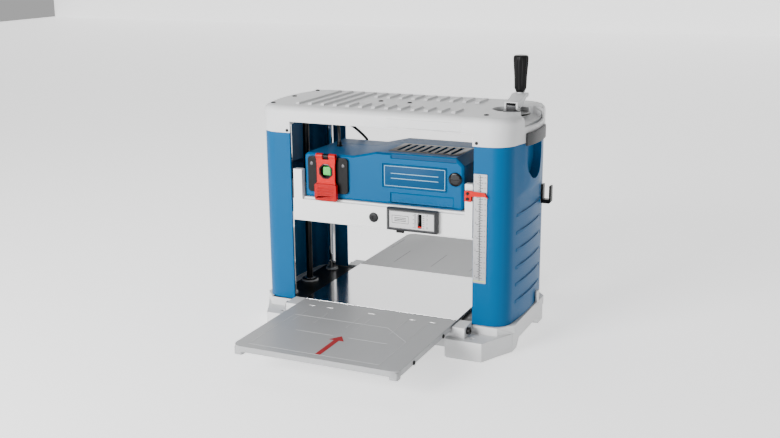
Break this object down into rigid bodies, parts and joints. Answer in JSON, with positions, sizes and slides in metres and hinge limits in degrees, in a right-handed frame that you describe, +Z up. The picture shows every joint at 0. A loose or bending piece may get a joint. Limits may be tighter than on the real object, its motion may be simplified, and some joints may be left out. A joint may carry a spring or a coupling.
{
  "type": "thickness planer",
  "caption": "Benchtop thickness planer with folding infeed and outfeed tables, a head that rides on four columns, and a folding height crank.",
  "frame": {"origin": "on the bench, under the middle of the bed", "axes": "+Y along the feed, from the infeed side at the front to the outfeed side at the back; +X to the side with the height crank; +Z up"},
  "size_m": [0.5566, 0.806, 0.5395],
  "materials": {
    "cast_grey": "light grey painted casting, satin",
    "cast_white": "off-white painted casting, satin",
    "table_grey": "mid grey painted casting, satin",
    "blue_plastic": "blue moulded plastic, satin",
    "stainless": "polished stainless sheet",
    "chrome": "ground and chromed bar",
    "black_steel": "black oxide",
    "bare_steel": "ground steel",
    "bronze": "bronze",
    "copper": "copper windings on a laminated core",
    "black_plastic": "black moulded plastic",
    "grey_plastic": "dark grey moulded plastic",
    "rubber": "black rubber",
    "red_plastic": "red moulded plastic",
    "green_plastic": "green moulded plastic",
    "gauge_face": "printed plate",
    "aluminium": "brushed, printed strip"
  },
  "bodies": {
    "frame": {"base_casting": "cast_grey", "bed_plate": "stainless", "column_cover_left": "blue_plastic", "column_cover_right": "blue_plastic", "top_cap": "cast_grey", "guide_column_front_left": "chrome", "guide_column_front_right": "chrome", "guide_column_rear_left": "chrome", "guide_column_rear_right": "chrome", "carry_handle_left": "grey_plastic", "carry_handle_right": "grey_plastic", "depth_scale": "aluminium", "cord_hook": "black_plastic", "lift_chain": "black_steel", "infeed_hinge_rod": "black_steel", "outfeed_hinge_rod": "black_steel"},
    "infeed_table": {"infeed_table": "table_grey"},
    "outfeed_table": {"outfeed_table": "table_grey"},
    "screw_right": {"lead_screw_right": "black_steel", "sprocket_right": "black_steel", "index_dial": "black_plastic", "crank_hub": "black_steel", "crank_pin": "bare_steel"},
    "crank_arm": {"crank_arm": "cast_grey"},
    "crank_grip": {"crank_grip": "black_plastic"},
    "screw_left": {"lead_screw_left": "black_steel", "sprocket_left": "black_steel"},
    "head": {"carriage_casting": "cast_white", "lift_nut_left": "bronze", "lift_nut_right": "bronze", "cutter_bearing_left": "bare_steel", "cutter_bearing_right": "bare_steel", "drive_belt": "rubber", "belt_guard": "black_plastic", "feed_chain": "black_steel", "feed_gearbox_cover": "black_plastic", "kickback_rod": "bare_steel", "motor_housing_front": "blue_plastic", "motor_housing_rear": "blue_plastic", "motor_stator": "copper", "brush_cap": "black_plastic", "chip_hood": "black_plastic", "motor_lead": "rubber", "switch_plate": "black_plastic", "gauge_bezel": "grey_plastic", "gauge_face": "gauge_face", "scale_pointer": "red_plastic"},
    "cutterhead": {"cutter_drum": "bare_steel", "cutter_pulley": "black_steel", "knife_1": "bare_steel", "knife_2": "bare_steel"},
    "motor_rotor": {"motor_armature": "bare_steel", "motor_pulley": "black_steel"},
    "infeed_roller": {"infeed_roller": "rubber"},
    "outfeed_roller": {"outfeed_roller": "rubber"},
    "kickback": {"kickback_fingers": "black_steel"},
    "stop_paddle": {"stop_paddle": "red_plastic"},
    "start_button": {"start_button": "green_plastic"},
    "depth_feeler": {"depth_feeler": "black_plastic"},
    "gauge_pointer": {"gauge_pointer": "red_plastic"}
  },
  "joints": [
    {"name": "screw_right_spin", "type": "hinge", "parent": "frame", "child": "screw_right", "pos_m": [0.22, 0, 0.053], "axis": [0, 0, 1], "range_deg": [-682, 33838]},
    {"name": "screw_left_spin", "type": "hinge", "parent": "frame", "child": "screw_left", "pos_m": [-0.22, 0, 0.053], "axis": [0, 0, 1], "range_deg": [-682, 33838]},
    {"name": "head_lift", "type": "slide", "parent": "frame", "child": "head", "axis": [0, 0, 1], "range_m": [-0.1492, 0.003]},
    {"name": "crank_fold", "type": "hinge", "parent": "screw_right", "child": "crank_arm", "pos_m": [0.22, 0, 0.449], "axis": [1, 0, 0], "range_deg": [0, 90]},
    {"name": "grip_spin", "type": "hinge", "parent": "crank_arm", "child": "crank_grip", "pos_m": [0.22, 0.05, 0.4675], "axis": [0, 0, 1], "continuous": true},
    {"name": "infeed_table_fold", "type": "hinge", "parent": "frame", "child": "infeed_table", "pos_m": [0, -0.145, 0.0486], "axis": [-1, 0, 0], "range_deg": [0, 85]},
    {"name": "outfeed_table_fold", "type": "hinge", "parent": "frame", "child": "outfeed_table", "pos_m": [0, 0.145, 0.0486], "axis": [1, 0, 0], "range_deg": [0, 85]},
    {"name": "cutter_spin", "type": "hinge", "parent": "head", "child": "cutterhead", "pos_m": [0, 0, 0.2364], "axis": [1, 0, 0], "continuous": true},
    {"name": "motor_spin", "type": "hinge", "parent": "head", "child": "motor_rotor", "pos_m": [0, -0.03, 0.318], "axis": [1, 0, 0], "continuous": true},
    {"name": "infeed_roller_spin", "type": "hinge", "parent": "head", "child": "infeed_roller", "pos_m": [0, -0.048, 0.2281], "axis": [1, 0, 0], "continuous": true},
    {"name": "outfeed_roller_spin", "type": "hinge", "parent": "head", "child": "outfeed_roller", "pos_m": [0, 0.048, 0.2281], "axis": [1, 0, 0], "continuous": true},
    {"name": "kickback_swing", "type": "hinge", "parent": "head", "child": "kickback", "pos_m": [0, -0.092, 0.25], "axis": [1, 0, 0], "range_deg": [0, 35]},
    {"name": "paddle_tilt", "type": "hinge", "parent": "head", "child": "stop_paddle", "pos_m": [-0.1115, -0.1203, 0.3515], "axis": [1, 0, 0], "range_deg": [-100, 2.5], "stiffness_Nm_per_rad": 0.06, "springref_deg": -0.46},
    {"name": "start_press", "type": "slide", "parent": "head", "child": "start_button", "axis": [0, 1, 0], "range_m": [0, 0.003], "stiffness_N_per_m": 300},
    {"name": "feeler_lift", "type": "slide", "parent": "head", "child": "depth_feeler", "axis": [0, 0, 1], "range_m": [0, 0.0032]},
    {"name": "pointer_rise", "type": "slide", "parent": "head", "child": "gauge_pointer", "axis": [0, 0, 1], "range_m": [0, 0.0193]}
  ],
  "couplings": [
    {"joint": "screw_right_spin", "follows": "head_lift", "rad_per_m": -3957.9},
    {"joint": "screw_left_spin", "follows": "head_lift", "rad_per_m": -3957.9},
    {"joint": "motor_spin", "follows": "cutter_spin", "ratio": 1.8},
    {"joint": "infeed_roller_spin", "follows": "cutter_spin", "ratio": -0.0085},
    {"joint": "outfeed_roller_spin", "follows": "cutter_spin", "ratio": -0.0085},
    {"joint": "pointer_rise", "follows": "feeler_lift", "ratio": 6}
  ]
}
